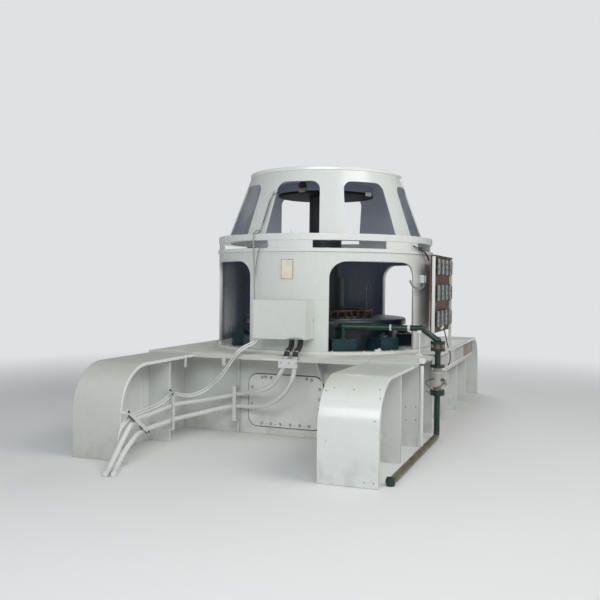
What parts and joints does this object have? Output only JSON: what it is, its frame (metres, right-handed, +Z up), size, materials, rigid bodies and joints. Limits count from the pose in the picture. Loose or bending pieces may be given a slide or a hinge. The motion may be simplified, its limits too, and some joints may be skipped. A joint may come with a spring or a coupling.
{
  "type": "hydroelectric generator",
  "caption": "Vertical hydroelectric generator housing on a two-beam plinth, with tall openings, a slotted ring band, a windowed conical top, cooling pipe and cables.",
  "frame": {"origin": "on the machine's vertical axis at floor level, at the centre of the casing's foot", "axes": "+Z up, -Y the front with the terminal box and the hatch, +Y along the two beams, +X the side with the cooling pipe"},
  "size_m": [3.022, 6.1659, 2.824],
  "materials": {
    "white_enamel": "glossy white enamel over welded steel plate",
    "deck_paint": "grey green deck paint, dusty",
    "grey_primer": "plain grey machine paint",
    "navy_paint": "dark blue machine paint",
    "teal_paint": "dark teal machine paint",
    "dark_steel": "dark machined steel and iron",
    "oxide_red": "dark red paint",
    "cable_sheath": "white painted cable and conduit",
    "green_pipe": "dark green pipe paint",
    "khaki_pipe": "olive pipe paint",
    "meter_body": "off-white moulded meter body",
    "rack_paint": "brown painted rack",
    "ribbed_steel": "ribbed bright resistor elements"
  },
  "bodies": {
    "root": {"web_left": "white_enamel", "web_right": "white_enamel", "flange_left": "white_enamel", "flange_right": "white_enamel", "ribs_left": "white_enamel", "ribs_right": "white_enamel", "wall_front": "white_enamel", "wall_rear": "white_enamel", "hatch": "white_enamel", "side_rail_left": "white_enamel", "side_rail_right": "white_enamel", "deck": "deck_paint", "casing": "grey_primer", "curb_ring": "white_enamel", "drum_front": "white_enamel", "drum_right": "white_enamel", "drum_rear": "white_enamel", "drum_left": "white_enamel", "band_lower": "white_enamel", "band_posts": "white_enamel", "band_upper": "white_enamel", "cone_pillars": "white_enamel", "cone_crown": "white_enamel", "cone_cover": "white_enamel", "bearing_housing": "navy_paint", "coolers": "teal_paint", "shaft_column": "dark_steel", "exciter_disc": "dark_steel", "disc_motor": "grey_primer", "service_ring": "oxide_red", "terminal_box": "white_enamel", "cable_straps": "white_enamel", "cable_upper": "cable_sheath", "cable_lower": "cable_sheath", "cable_twin": "cable_sheath", "conduit_left": "cable_sheath", "pipe_upper": "green_pipe", "pipe_prop": "white_enamel", "flow_meter": "meter_body", "pipe_riser": "green_pipe", "pipe_floor": "khaki_pipe", "drain_conduit": "cable_sheath", "rack_frame": "rack_paint", "rack_elements": "ribbed_steel", "junction_box": "cable_sheath"}
  },
  "joints": []
}
